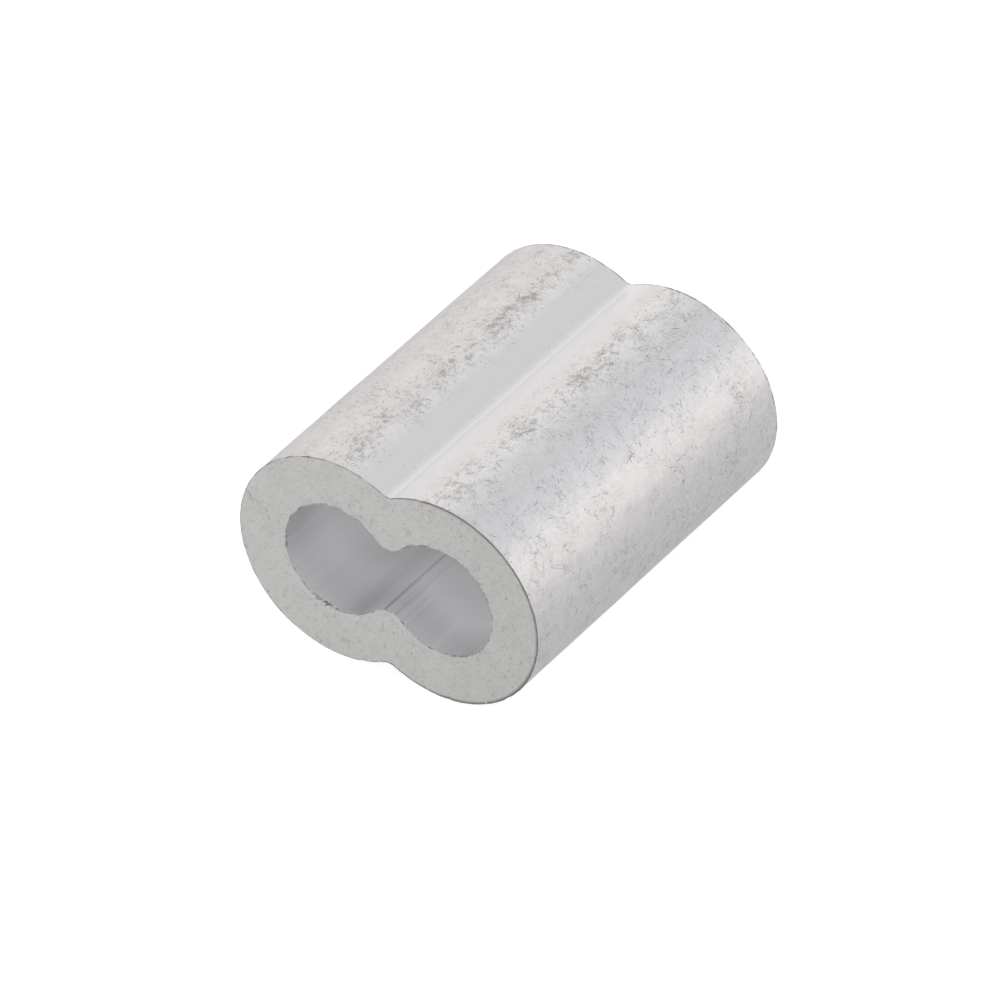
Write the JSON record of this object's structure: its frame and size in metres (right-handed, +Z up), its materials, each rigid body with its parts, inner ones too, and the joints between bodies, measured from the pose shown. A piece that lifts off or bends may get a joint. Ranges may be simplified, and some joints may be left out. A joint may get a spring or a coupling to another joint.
{
  "type": "wire rope ferrule",
  "caption": "Figure-eight compression ferrule for wire rope: a short extruded aluminium sleeve with joined bores side by side, sawn off at each end, before pressing.",
  "frame": {"origin": "centre of the sleeve: mid-way between the two bores, half-way along its length", "axes": "+Y along the bores, +X across the two lobes, +Z up with the sleeve lying on its broad side"},
  "size_m": [0.0318, 0.038, 0.021],
  "materials": {
    "aluminium": "tumbled mill finish, satin; matt where sawn"
  },
  "bodies": {
    "root": {"sleeve": "aluminium"}
  },
  "joints": []
}
